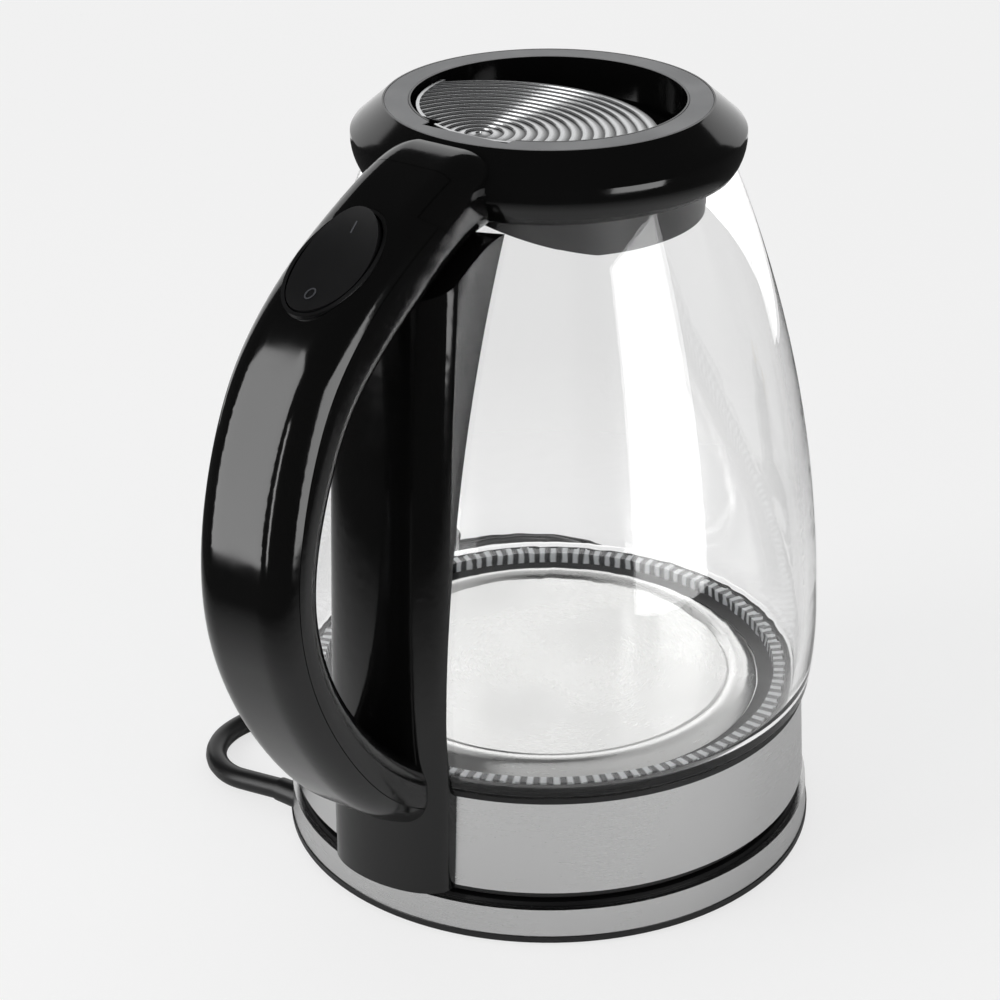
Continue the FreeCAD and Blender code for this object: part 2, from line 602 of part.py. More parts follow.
def grip_section(frame, top, bottom, half, top_round, bottom_round):
    # Rounded rectangle across the grip, from a depth to a lower depth.
    point, along, outward, depth = frame
    across = Vector(0, 1, 0)

    def place(y, n):
        return point + across * y + outward * n

    edges = []
    corners = [(half, top, top_round), (-half, top, top_round), (-half, bottom, bottom_round),
               (half, bottom, bottom_round)]
    count = len(corners)
    for index, (y, n, radius) in enumerate(corners):
        ahead = corners[(index + 1) % count]
        sy, sn = math.copysign(1, y), 1 if n == top else -1
        centre = (y - sy * radius, n - sn * radius)
        diagonal = (centre[0] + sy * radius * math.sqrt(0.5), centre[1] + sn * radius * math.sqrt(0.5))
        if index % 2 == 0:
            first, last = (y, centre[1]), (centre[0], n)
        else:
            first, last = (centre[0], n), (y, centre[1])
        edges.append(Part.Arc(place(*first), place(*diagonal), place(*last)).toShape())
        ay, an, ar = ahead
        asy, asn = math.copysign(1, ay), 1 if an == top else -1
        after = (ay - asy * ar, an) if index % 2 == 0 else (ay, an - asn * ar)
        edges.append(Part.LineSegment(place(*last), place(*after)).toShape())
    return Part.Wire(edges)


def grip_bar(top, bottom, half, top_round, bottom_round, first=0, last=None, floor=0.0):
    # Loft along the grip; bottom is a depth, or None for the grip's thickness less a floor.
    wires = []
    for frame in grip_frames()[first:last]:
        low = bottom if bottom is not None else floor - frame[3]
        wires.append(grip_section(frame, top, low, half, top_round, bottom_round))
    return Part.makeLoft(wires, True, False)



def side_prism(outline, half=40.0):
    # Prism across the handle, from (reach, height) points.
    points = [Vector(-reach, -half, height) for reach, height in outline]
    return Part.Face(Part.makePolygon(points + points[:1])).extrude(Vector(0, 2 * half, 0))


def column_loft(inset, low, high):
    # Front of the column: half an ellipse in plan, with straight sides back to the glass.
    half = dim.column_half_width.value - inset
    bulge = dim.column_bulge.value - inset
    wires = []
    for height, reach in column_line:
        height = min(max(height, low), high)
        centre = Vector(-reach, 0, height)
        front = Part.Ellipse(centre + Vector(0, half, 0), centre + Vector(-bulge, 0, 0), centre)
        back = [centre + Vector(0, -half, 0), centre + Vector(36, -half, 0), centre + Vector(36, half, 0),
                centre + Vector(0, half, 0)]
        edges = [Part.ArcOfEllipse(front, 0, math.pi).toShape()]
        edges += [Part.LineSegment(first, last).toShape() for first, last in zip(back, back[1:])]
        wires.append(Part.Wire(edges))
    return Part.makeLoft(wires, True, False)


half_width = dim.grip_half_width.value
cover_depth = dim.grip_cover_depth.value
wall = dim.grip_wall.value
seam = dim.seam_gap.value
column_line = [(dim.column_bottom.value, 74.7), (45.0, 74.5), (75.0, 73.8), (105.0, 72.5), (135.0, 70.9),
               (165.0, 69.0), (205.0, 66.2)]

bar_full = grip_bar(0, None, half_width, 9.0, 6.0)
upper_block = grip_bar(6.0, -cover_depth, half_width + 4, 0.3, 0.3)
lower_block = grip_bar(-cover_depth - seam, -26.0, half_width + 4, 0.3, 0.3)
above_bar = grip_bar(34.0, None, half_width + 9, 0.3, 0.3, 0, 7)
cover_cavity = grip_bar(-wall, -cover_depth - 3, half_width - wall, 5.6, 0.3, 3, 15)
shell_cavity = grip_bar(-cover_depth + 1, None, half_width - wall, 0.3, 4.0, 3, 15, wall)
tongue_half = half_width - 4.0
tongue_strip = grip_bar(6.0, -2.0, tongue_half, 0.3, 0.3)
tongue_slot = grip_bar(6.0, -2.0 - seam, tongue_half + seam, 0.3, 0.3)

# The collar's root ends in a slanting seam; the grip's tongue runs on over it.
seam_top, seam_foot = (76.0, 211.5), (57.0, 196.4)


def root_prism(shift):
    slope = (seam_top[1] - seam_foot[1]) / (seam_top[0] - seam_foot[0])
    low = (seam_foot[0] - 24 + shift, seam_foot[1] - 24 * slope)
    high = (seam_top[0] + 24 + shift, seam_top[1] + 24 * slope)
    return side_prism([(10, low[1]), low, high, (10, high[1])])


def reach_prism(near, far):
    return side_prism([(near, 150), (far, 150), (far, 240), (near, 240)])


tongue_start = 60.0
jug_side = jug_envelope(0.2)
jug_side_inner = jug_envelope(2.2)
column_solid = column_loft(0, dim.column_bottom.value, 205.0).cut(above_bar).cut(jug_side)
column_solid = max(column_solid.Solids, key=lambda solid: solid.Volume)
column_hollow = column_loft(dim.column_wall.value, dim.column_bottom.value + 2.4, 205.0)
column_hollow = column_hollow.cut(grip_bar(34.0, None, half_width + 9, 0.3, 0.3, 0, 7, -2.4)).cut(jug_side_inner)
keep(shaped("handle_column", column_solid.cut(column_hollow)), "handle_column")

cover_body = bar_full.common(upper_block).cut(root_prism(seam)).cut(cover_cavity)
tongue = bar_full.common(tongue_strip).common(reach_prism(tongue_start, 84.0))
shell_body = bar_full.common(lower_block).cut(root_prism(seam)).cut(shell_cavity)
lower_side = side_prism([(30, 0), (120, 0), (120, 120), (30, 120)])
jug_column = column_loft(-0.05, dim.column_bottom.value, 205.0).common(lower_side)

# Oval rocker switch, square to the grip's outer face.
switch_reach, switch_height, switch_tilt = 92.1, 201.5, 30.0
switch_place = Placement(Vector(-switch_reach, 0, switch_height), Rotation(Vector(0, 1, 0), -switch_tilt))


def oval(half_length, half_across, low, high):
    face = Part.Face(Part.Wire([Part.Ellipse(Vector(0, 0, low), half_length, half_across).toShape()]))
    return face.extrude(Vector(0, 0, high - low))


def placed(shape, place):
    moved = shape.copy()
    moved.Placement = place
    return moved


opening_length, opening_across = dim.switch_half_length.value, dim.switch_half_width.value
switch_opening = placed(oval(opening_length, opening_across, -12.0, 8.0), switch_place)
cover_shape = cover_body.fuse(tongue).cut(switch_opening).cut(jug_column).removeSplitter()
keep(shaped("grip_cover", cover_shape), "grip_cover")
keep(shaped("grip_shell", shell_body.cut(jug_column).cut(switch_opening)), "grip_shell")

bezel_gap, bezel_wall = 0.05, 1.05
bezel_low, bezel_floor, bezel_top = -7.5, -6.4, -0.7
pivot_height, pivot_radius = -3.5, 1.0
bezel = oval(opening_length - bezel_gap, opening_across - bezel_gap, bezel_low, bezel_top)
bezel = bezel.cut(oval(opening_length - bezel_wall, opening_across - bezel_wall, bezel_floor, 5.0))
pivot_bore = Part.makeCylinder(pivot_radius + 0.06, 2 * opening_across - 0.8,
                               Vector(0, -opening_across + 0.4, pivot_height), Vector(0, 1, 0))
keep(shaped("switch_bezel", bezel.cut(pivot_bore), switch_place), "switch_bezel")

button_length = opening_length - dim.switch_gap.value
button_across = opening_across - dim.switch_gap.value
button_low, button_top, dish_radius, dish_height = -4.8, 1.2, 75.0, -0.6
button = oval(button_length, button_across, button_low, button_top)
dish = Part.makeCylinder(dish_radius, 60, Vector(0, -30, dish_height + dish_radius), Vector(0, 1, 0))
trunnion = Part.makeCylinder(pivot_radius, 2 * opening_across - 1.4,
                             Vector(0, -opening_across + 0.7, pivot_height), Vector(0, 1, 0))
button = button.cut(dish).fuse(trunnion)
rock_angle = 4.0
rock = Placement(Vector(0, 0, 0), Rotation(Vector(0, 1, 0), -rock_angle), Vector(0, 0, pivot_height))
keep(shaped("switch_button", button, switch_place * rock), "switch_button")
switch_unit = Part.makeBox(18, 11, 8, Vector(-9, -5.5, bezel_low - 8))
keep(shaped("switch_unit", switch_unit, switch_place), "switch_unit")

# ---------------------------------------------------------------- collar with the handle's root
root = bar_full.common(root_prism(0))
root = root.cut(tongue_slot.common(reach_prism(tongue_start - seam, 120.0)))
root = root.cut(Part.makeCylinder(dim.collar_widest.value - 3.0, 40, Vector(0, 0, dim.collar_top.value - 45.5)))
root = root.cut(Part.makeCylinder(dim.collar_ring_outer.value, 60, Vector(0, 0, dim.collar_top.value - 40)))
root = root.cut(jug_envelope(0.25))
root_piece = shaped("collar_root", root)

hinge_x = sized(0) - dim.hinge_reach
pin_half = 16.8
hinge_bore = lying_cylinder("collar_hinge_bore", dim.hinge_pin_radius + 0.03, pin_half + 0.3, hinge_x, dim.hinge_height)
relief_half = 14.0
swing_radius = dim.lid_top - dim.hinge_height
hinge_relief = box("collar_hinge_relief",
                   (sized(0) - dim.hinge_reach - swing_radius - 0.4, -relief_half, dim.hinge_height - 4.0),
                   (sized(0) - dim.mouth_radius + 3.0, relief_half, dim.collar_top + 1.0))
collar_fused = fused("collar_fused", [collar_blank, root_piece])
keep(cut("collar_cut", collar_fused, [channel_tool, hinge_bore, hinge_relief]), "collar")
keep(lying_cylinder("hinge_pin_body", dim.hinge_pin_radius, pin_half, hinge_x, dim.hinge_height), "lid_hinge_pin")

collar_fill = turned("collar_fill", [
    (0, dim.collar_bottom), (shell_low + 0.9, dim.collar_bottom, collar_wall_arc),
    (dim.collar_widest, dim.collar_top - collar_edge_drop),
    (dim.collar_widest - 0.4, dim.collar_top - collar_edge_drop + 0.6),
    (dim.collar_ring_outer + 0.3, dim.collar_top - 0.3), (dim.collar_ring_outer, dim.collar_top),
    (0, dim.collar_top)])
spout_blank = shaped("spout_blank", spout_outside.cut(jug_side))
keep(cut("spout_cut", spout_blank, [collar_fill, channel_tool]), "spout")

# Filter in front of the spout: a frame with a perforated leaf.
filter_near, filter_far, filter_half = 36.4, 38.0, 11.0
filter_top = lip_under
frame_blank = box("filter_frame_box", (filter_near, -filter_half, filter_top - 11.2), (filter_far, filter_half, filter_top))
window = box("filter_window", (filter_near - 1, 1.6 - filter_half, filter_top - 9.6),
             (filter_far + 1, filter_half - 1.6, filter_top - 1.6))
keep(cut("filter_frame_cut", frame_blank, [window]), "filter_frame")
leaf = Part.makeBox(0.5, 2 * (filter_half - 1.6), 8.0,
                    Vector(37.0, 1.6 - filter_half, filter_top.value - 9.6))
holes = []
for column in range(8):
    for line in range(4):
        holes.append(Part.makeCylinder(0.65, 3, Vector(36.0, -7.7 + 2.2 * column, filter_top.value - 8.6 + 2.0 * line),
                                       Vector(1, 0, 0)))
keep(shaped("filter_leaf", leaf.cut(Part.makeCompound(holes))), "filter_leaf")

# ---------------------------------------------------------------- lid
lid_radius = dim.mouth_radius - dim.lid_gap
plate_low = dim.lid_top - dim.lid_plate_wall
floor_low = dim.lid_floor_top - dim.lid_floor_wall
ridge_centre = sized(0) - dim.ridge_offset
rear_flat = box("lid_rear_flat", (sized(0) - lid_radius - 5, -30, floor_low - 1),
                (sized(0) - dim.hinge_reach - 0.8, 30, dim.lid_top + 1))
pin_bore = lying_cylinder("lid_pin_bore", dim.hinge_pin_radius + 0.1, 20, hinge_x, dim.hinge_height)
# The rear corners stay clear of the collar while the lid swings up behind its pin.
swing_room = [box("lid_swing_room_" + side, (sized(0) - lid_radius - 5, low, dim.hinge_height - 1.0),
                  (sized(0) - dim.hinge_reach + 5.6, high, dim.lid_top + 1))
              for side, low, high in (("left", relief_half - 0.25, 30), ("right", -30, 0.25 - relief_half))]
spring_radius = dim.hinge_pin_radius + 0.7
spring_room = [lying_cylinder("lid_spring_room_" + side, spring_radius + 0.25, 2.1, hinge_x, dim.hinge_height, y)
               for side, y in (("left", 11.3), ("right", -11.3))]

floor_disc = cylinder("lid_floor_disc", lid_radius - 0.2, dim.lid_floor_wall, floor_low)
block_outer = common("lid_block", [
    cylinder("lid_block_disc", lid_radius - 1.0, plate_low - floor_low, floor_low),
    cylinder("lid_block_arc", dim.ridge_outer - 0.8, plate_low - floor_low, floor_low, ridge_centre)])
block_room = common("lid_room", [
    cylinder("lid_room_disc", lid_radius - 3.4, plate_low - floor_low - 1.0, floor_low - 1),
    cylinder("lid_room_arc", dim.ridge_outer - 3.0, plate_low - floor_low - 1.0, floor_low - 1, ridge_centre)])
rear_wall = box("lid_rear_wall", (sized(0) - lid_radius - 1, -16, floor_low),
                (sized(0) - dim.hinge_reach + 3.4, 16, plate_low))
rear_block = common("lid_rear_block", [
    rear_wall, cylinder("lid_rear_disc", lid_radius - 1.0, plate_low - floor_low, floor_low)])
lid_shell = cut("lid_shell", fused("lid_shell_fused", [floor_disc, block_outer]), [block_room])
lid_tools = [rear_flat, pin_bore] + spring_room + swing_room
keep(cut("lid_body_cut", fused("lid_body_fused", [lid_shell, rear_block]), lid_tools), "lid_body")

ridge_count = int(dim.ridge_outer.value / dim.ridge_pitch.value)
pitch, ridge_low = dim.ridge_pitch.value, dim.lid_top.value - dim.ridge_depth.value
outline = [Vector(0, 0, plate_low.value), Vector(0, 0, dim.lid_top.value)]
first_ridge = dim.ridge_outer.value - ridge_count * pitch
for index in range(ridge_count):
    inner = first_ridge + index * pitch
    outline.append(Vector(inner, 0, ridge_low))
    outline.append(Vector(inner + 0.3, 0, dim.lid_top.value))
outline.append(Vector(dim.ridge_outer.value, 0, ridge_low))
outline.append(Vector(dim.ridge_outer.value, 0, plate_low.value))
ridged = Part.Face(Part.makePolygon(outline + outline[:1])).revolve(Vector(0, 0, 0), Vector(0, 0, 1), 360)
ridged_piece = shaped("lid_ridges", ridged, Placement(Vector(ridge_centre.value, 0, 0), Rotation()))
plate_disc = common("lid_plate_disc", [ridged_piece, cylinder("lid_plate_round", lid_radius, 4, plate_low - 1)])
border = common("lid_border", [
    cut("lid_border_ring", cylinder("lid_border_outer", lid_radius, dim.lid_plate_wall, plate_low),
        [cylinder("lid_border_inner", lid_radius - 0.9, 6, plate_low - 1)]),
    cylinder("lid_border_arc", dim.ridge_outer, 6, plate_low - 1, ridge_centre)])
keep(cut("lid_plate_cut", fused("lid_plate_fused", [plate_disc, border]), lid_tools), "lid_plate")
under_radius = lid_radius - 3.0
keep(cylinder("lid_under_disc", under_radius, 4.0, floor_low - 4.0), "lid_under")
keep(ring("lid_seal_body", under_radius + 0.05, under_radius + 2.4, floor_low - 2.5, floor_low), "lid_seal")
spring = lying_cylinder("lid_spring_outer", spring_radius, 1.7, hinge_x, dim.hinge_height, 11.3)
keep(cut("lid_spring_cut", spring, [lying_cylinder("lid_spring_inner", dim.hinge_pin_radius + 0.05, 4, hinge_x,
                                                   dim.hinge_height, 11.3)]), "lid_spring")

# ---------------------------------------------------------------- cord and plug
relief = Part.makeCone(relief_wide, relief_narrow, relief_end - relief_start,
                       Vector(exit_x, relief_start, relief_height), Vector(0, 1, 0))
keep(shaped("strain_relief", relief), "strain_relief")

cord_level = cord_radius.value + 0.1
cord_route = [(-50.4, 63.0, 5.4), (-50.8, 73.0, 4.4), (-50.9, 83.0, cord_level), (-46.6, 92.4, cord_level),
              (-38.2, 98.6, cord_level), (-27.6, 100.2, cord_level), (-14.5, 96.6, cord_level),
              (-3.5, 91.6, cord_level), (8.0, 90.0, cord_level), (20.5, 92.8, cord_level),
              (36.5, 98.2, cord_level), (52.5, 104.2, cord_level), (68.7, 111.9, cord_level)]


def rounded_path(route):
    # Straight runs joined by arcs as large as both runs allow.
    points = [Vector(*place) for place in route]
    edges = []
    cursor = points[0]
    for before, corner, after in zip(points, points[1:], points[2:]):
        back, ahead = before - corner, after - corner
        turn = math.pi - back.getAngle(ahead)
        shorter = min(back.Length, ahead.Length)
        reach = 0.45 * shorter
        radius = reach / math.tan(turn / 2)
        print("cord arc at (%.1f, %.1f): radius %.1f mm" % (corner.x, corner.y, radius))
        first = corner + back.normalize() * reach
        last = corner + ahead.normalize() * reach
        inward = (back + ahead).normalize()
        middle = corner + inward * (radius / math.cos(turn / 2) - radius)
        edges.append(Part.LineSegment(cursor, first).toShape())
        edges.append(Part.Arc(first, middle, last).toShape())
        cursor = last
    edges.append(Part.LineSegment(cursor, points[-1]).toShape())
    return Part.Wire(edges)


cord_path = rounded_path(cord_route)
start_direction = (Vector(*cord_route[1]) - Vector(*cord_route[0])).normalize()
cord_circle = Part.Wire([Part.Circle(Vector(*cord_route[0]), start_direction, cord_radius.value).toShape()])
cord_tube = cord_path.makePipeShell([cord_circle], True, False)
print("cord volume %.0f, section times length %.0f" % (
    cord_tube.Volume, math.pi * cord_radius.value ** 2 * cord_path.Length))
keep(shaped("cord_run", cord_tube), "cord_run")

coil_x, coil_y, coil_strands, coil_middle = 90.7, 80.6, 3, 31.9
coil_outer = coil_middle + coil_strands * dim.cord_diameter.value / 2
coil_inner = coil_middle - coil_strands * dim.cord_diameter.value / 2
coil_low, coil_high = 0.1, 0.1 + dim.cord_diameter.value
keep(cut("cord_coil_cut", cylinder("cord_coil_outer", coil_outer, coil_high - coil_low, coil_low, coil_x, coil_y),
         [cylinder("cord_coil_inner", coil_inner, coil_high + 2, coil_low - 1, coil_x, coil_y)]), "cord_coil")

# The plug lies on the coil, in line with the end of its innermost strand.
plug_heading = 55.0
plug_length, plug_half, plug_height = 32.0, 13.0, 16.0
relief_length = 14.0
inner_strand = coil_middle - dim.cord_diameter.value
plug_way = Vector(math.cos(math.radians(plug_heading)), math.sin(math.radians(plug_heading)), 0)
plug_start = Vector(coil_x, coil_y, coil_high + 0.1) + Vector(-plug_way.y, plug_way.x, 0) * inner_strand
plug_place = Placement(plug_start + plug_way * relief_length, Rotation(Vector(0, 0, 1), plug_heading))
plug = Part.makeBox(plug_length, 2 * plug_half, plug_height, Vector(0, -plug_half, 0))
plug = plug.makeFillet(5.0, [edge for edge in plug.Edges if abs(edge.tangentAt(0).z) > 0.9])
plug = plug.makeFillet(1.5, [edge for edge in plug.Edges if edge.BoundBox.ZLength < 0.01])
keep(shaped("plug_body", plug, plug_place), "plug_body")
plug_relief = Part.makeCone(3.6, 4.6, relief_length, Vector(-relief_length, 0, plug_height / 2), Vector(1, 0, 0))
keep(shaped("plug_relief", plug_relief, plug_place), "plug_relief")
for side, sign in (("left", 1), ("right", -1)):
    pin = Part.makeCylinder(2.4, 19.0, Vector(plug_length, sign * 9.5, plug_height / 2), Vector(1, 0, 0))
    keep(shaped("plug_pin_" + side, pin, plug_place), "plug_pin_" + side)

# ---------------------------------------------------------------- check and write
doc.recompute()
failed = [thing.Label for thing in doc.Objects if "Invalid" in thing.State or "Error" in thing.State]
for thing in pieces:
    if thing.Shape.isNull() or not thing.Shape.isValid():
        failed.append(thing.Label)
for thing in pieces:
    if thing.Label not in failed:
        print("%-22s solids %d volume %9.1f" % (thing.Label, len(thing.Shape.Solids), thing.Shape.Volume))
if failed:
    sys.exit("failed: " + ", ".join(failed))
os.makedirs("parts", exist_ok=True)
for thing in pieces:
    thing.Shape.exportStep("parts/%s.step" % thing.Label)
print("%d pieces" % len(pieces))
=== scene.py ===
import bpy
import bmesh
import math
from mathutils import Matrix, Vector


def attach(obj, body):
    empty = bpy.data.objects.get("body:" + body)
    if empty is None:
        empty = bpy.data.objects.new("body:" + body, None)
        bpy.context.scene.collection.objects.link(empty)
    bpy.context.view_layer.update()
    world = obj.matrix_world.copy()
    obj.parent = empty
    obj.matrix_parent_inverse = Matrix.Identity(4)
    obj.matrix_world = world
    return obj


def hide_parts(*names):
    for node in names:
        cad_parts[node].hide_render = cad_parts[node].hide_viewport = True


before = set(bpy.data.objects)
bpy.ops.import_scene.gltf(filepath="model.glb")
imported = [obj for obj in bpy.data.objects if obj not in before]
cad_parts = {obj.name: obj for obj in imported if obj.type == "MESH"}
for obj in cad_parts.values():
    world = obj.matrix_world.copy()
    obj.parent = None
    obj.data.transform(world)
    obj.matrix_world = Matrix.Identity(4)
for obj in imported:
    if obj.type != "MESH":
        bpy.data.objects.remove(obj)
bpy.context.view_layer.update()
scene = bpy.context.scene
print("frame loaded")


cameraSet = {"lens": 97.2, "height": 0.09924, "distance": 0.773, "elevation": 26.05, "azimuth": -55.0, "shift": -0.049}
cameraData = bpy.data.cameras.new("camera")
cameraData.lens = cameraSet["lens"]
cameraData.sensor_width = 36.0
cameraData.shift_x = cameraSet["shift"]
cameraData.clip_end = 50.0
cameraObject = bpy.data.objects.new("camera", cameraData)
scene.collection.objects.link(cameraObject)
rise = math.radians(cameraSet["elevation"])
turn = math.radians(cameraSet["azimuth"])
target = Vector((0, 0, cameraSet["height"]))
backward = Vector((math.sin(turn) * math.cos(rise), -math.cos(turn) * math.cos(rise), math.sin(rise)))
cameraObject.location = target + backward * cameraSet["distance"]
cameraObject.rotation_euler = backward.to_track_quat("Z", "Y").to_euler()
scene.camera = cameraObject


def linearColour(code, alpha=1.0):
    # sRGB hex to the linear values that shaders take
    parts = [int(code[i:i + 2], 16) / 255 for i in (1, 3, 5)]
    return [p / 12.92 if p <= 0.04045 else ((p + 0.055) / 1.055) ** 2.4 for p in parts] + [alpha]


def addNode(material, kind, settings=None, inputs=None):
    # Adds a node; inputs are plain values, or sockets to link from.
    node = material.node_tree.nodes.new(kind)
    for name, value in (settings or {}).items():
        setattr(node, name, value)
    for name, value in (inputs or {}).items():
        if isinstance(value, bpy.types.NodeSocket):
            material.node_tree.links.new(value, node.inputs[name])
        else:
            node.inputs[name].default_value = value
    return node


def newMaterial(name, viewColour):
    material = bpy.data.materials.new(name)
    material.use_nodes = True
    material.node_tree.nodes.clear()
    material.diffuse_color = linearColour(viewColour)
    return material


def finishMaterial(material, shader):
    output = addNode(material, "ShaderNodeOutputMaterial")
    material.node_tree.links.new(shader.outputs[0], output.inputs["Surface"])
    return material


def newObject(name, mesh, material, body):
    piece = bpy.data.objects.new(name, mesh)
    scene.collection.objects.link(piece)
    mesh.materials.append(material)
    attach(piece, body)
    return piece


def meshFrom(shape, name, smoothAngle=30.0):
    # Cleans a bmesh, turns its faces outward and keeps edges sharper than the angle crisp.
    bmesh.ops.remove_doubles(shape, verts=shape.verts, dist=2e-6)
    bmesh.ops.recalc_face_normals(shape, faces=shape.faces)
    for face in shape.faces:
        face.smooth = True
    for edge in shape.edges:
        edge.smooth = len(edge.link_faces) == 2 and edge.calc_face_angle(0) < math.radians(smoothAngle)
    mesh = bpy.data.meshes.new(name)
    shape.to_mesh(mesh)
    shape.free()
    return mesh


def spunMesh(name, profile, steps=160, smoothAngle=30.0):
    # Turns a closed profile of (radius, height) in millimetres about the kettle's axis.
    shape = bmesh.new()
    corners = [shape.verts.new((radius / 1000, 0, height / 1000)) for radius, height in profile]
    edges = [shape.edges.new((a, b)) for a, b in zip(corners, corners[1:] + corners[:1])]
    bmesh.ops.spin(shape, geom=corners + edges, cent=(0, 0, 0), axis=(0, 0, 1), angle=math.tau,
                   steps=steps, use_merge=True, use_duplicate=False)
    return meshFrom(shape, name, smoothAngle)


def arcPoints(centre, radius, first, last, count):
    return [(centre[0] + radius * math.cos(math.radians(first + (last - first) * i / count)),
             centre[1] + radius * math.sin(math.radians(first + (last - first) * i / count)))
            for i in range(count + 1)]


def polishedPlastic():
    # Black ABS from a polished mould: deep, even black with sharp reflections and a faint
    # moulding ripple, and hairline dulling where hands have been.
    material = newMaterial("polishedBlackAbs", "#0b0b0c")
    place = addNode(material, "ShaderNodeTexCoord")
    ripple = addNode(material, "ShaderNodeTexNoise", None,
                     {"Vector": place.outputs["Object"], "Scale": 22.0, "Detail": 1.0})  # ripple about 45 mm long
    smudge = addNode(material, "ShaderNodeTexNoise", None,
                     {"Vector": place.outputs["Object"], "Scale": 70.0, "Detail": 4.0, "Roughness": 0.6})
    rough = addNode(material, "ShaderNodeMapRange", None,
                    {"Value": smudge.outputs[0], "From Min": 0.35, "From Max": 0.75, "To Min": 0.07, "To Max": 0.16})
    bump = addNode(material, "ShaderNodeBump", None,
                   {"Height": ripple.outputs[0], "Strength": 0.08, "Distance": 0.0005})
    shader = addNode(material, "ShaderNodeBsdfPrincipled", None,
                     {"Base Color": linearColour("#0a0a0a"), "IOR": 1.5, "Roughness": rough.outputs[0],
                      "Normal": bump.outputs[0]})
    return finishMaterial(material, shader)


def satinPlastic(name, colour, roughness, grain=0.35):
    # Moulded plastic with a spark-eroded texture: soft highlights and a fine even grain.
    material = newMaterial(name, colour)
    place = addNode(material, "ShaderNodeTexCoord")
    fine = addNode(material, "ShaderNodeTexNoise", None,
                   {"Vector": place.outputs["Object"], "Scale": 1000 / grain, "Detail": 2.0})
    broad = addNode(material, "ShaderNodeTexNoise", None,
                    {"Vector": place.outputs["Object"], "Scale": 60.0, "Detail": 3.0})
    rough = addNode(material, "ShaderNodeMapRange", None,
                    {"Value": broad.outputs[0], "From Min": 0.3, "From Max": 0.7,
                     "To Min": roughness - 0.05, "To Max": roughness + 0.06})
    bump = addNode(material, "ShaderNodeBump", None,
                   {"Height": fine.outputs[0], "Strength": 0.25, "Distance": 0.00004})
    shader = addNode(material, "ShaderNodeBsdfPrincipled", None,
                     {"Base Color": linearColour(colour), "IOR": 1.5, "Roughness": rough.outputs[0],
                      "Normal": bump.outputs[0]})
    return finishMaterial(material, shader)


def blownGlass():
    # Borosilicate glass, pressed and blown: clear, with a slow ripple in its wall.
    material = newMaterial("borosilicateGlass", "#e8f0ee")
    place = addNode(material, "ShaderNodeTexCoord")
    wave = addNode(material, "ShaderNodeTexNoise", None,
                   {"Vector": place.outputs["Object"], "Scale": 28.0, "Detail": 1.0})
    bump = addNode(material, "ShaderNodeBump", None,
                   {"Height": wave.outputs[0], "Strength": 0.08, "Distance": 0.0004})
    shader = addNode(material, "ShaderNodeBsdfPrincipled", None,
                     {"Base Color": linearColour("#ffffff"), "IOR": 1.47, "Roughness": 0.0,
                      "Transmission Weight": 1.0, "Normal": bump.outputs[0]})
    return finishMaterial(material, shader)


def brushedSteel(name, colour, low, high, lengthwise=True, grain=0.35):
    # Stainless sheet: fine circular brushing round the axis, drawn a little coarser than
    # the real 0.1 mm grit so that it shows.
    material = newMaterial(name, colour)
    place = addNode(material, "ShaderNodeTexCoord")
    apart = addNode(material, "ShaderNodeSeparateXYZ", None, {"Vector": place.outputs["Object"]})
    square = addNode(material, "ShaderNodeVectorMath", {"operation": "MULTIPLY"},
                     {0: place.outputs["Object"], 1: (1.0, 1.0, 0.0)})
    reach = addNode(material, "ShaderNodeVectorMath", {"operation": "LENGTH"}, {0: square.outputs[0]})
    angle = addNode(material, "ShaderNodeMath", {"operation": "ARCTAN2"},
                    {0: apart.outputs[1], 1: apart.outputs[0]})
    slow = addNode(material, "ShaderNodeMath", {"operation": "MULTIPLY"}, {0: angle.outputs[0], 1: 0.004})
    lines = addNode(material, "ShaderNodeCombineXYZ", None,
                    {0: slow.outputs[0], 1: reach.outputs["Value"], 2: apart.outputs[2]})
    brush = addNode(material, "ShaderNodeTexNoise", None,
                    {"Vector": lines.outputs[0], "Scale": 1000 / grain, "Detail": 3.0, "Roughness": 0.7})
    cloud = addNode(material, "ShaderNodeTexNoise", None,
                    {"Vector": place.outputs["Object"], "Scale": 30.0, "Detail": 2.0})
    mixed = addNode(material, "ShaderNodeMath", {"operation": "MULTIPLY"}, {0: brush.outputs[0], 1: cloud.outputs[0]})
    rough = addNode(material, "ShaderNodeMapRange", None,
                    {"Value": mixed.outputs[0], "From Min": 0.15, "From Max": 0.4, "To Min": low, "To Max": high})
    bump = addNode(material, "ShaderNodeBump", None,
                   {"Height": brush.outputs[0], "Strength": 0.1, "Distance": 0.00002})
    shader = addNode(material, "ShaderNodeBsdfPrincipled", None,
                     {"Base Color": linearColour(colour), "Metallic": 1.0, "Roughness": rough.outputs[0],
                      "Anisotropic": 0.5 if lengthwise else 0.0, "Normal": bump.outputs[0]})
    return finishMaterial(material, shader)


def plainMetal(name, colour, roughness):
    # Turned or pressed small fittings: bright with slight machining streaks.
    material = newMaterial(name, colour)
    place = addNode(material, "ShaderNodeTexCoord")
    streak = addNode(material, "ShaderNodeTexNoise", None,
                     {"Vector": place.outputs["Object"], "Scale": 900.0, "Detail": 2.0})
    rough = addNode(material, "ShaderNodeMapRange", None,
                    {"Value": streak.outputs[0], "To Min": roughness - 0.06, "To Max": roughness + 0.08})
    bump = addNode(material, "ShaderNodeBump", None,
                   {"Height": streak.outputs[0], "Strength": 0.2, "Distance": 0.00003})
    shader = addNode(material, "ShaderNodeBsdfPrincipled", None,
                     {"Base Color": linearColour(colour), "Metallic": 1.0, "Roughness": rough.outputs[0],
                      "Normal": bump.outputs[0]})
    return finishMaterial(material, shader)


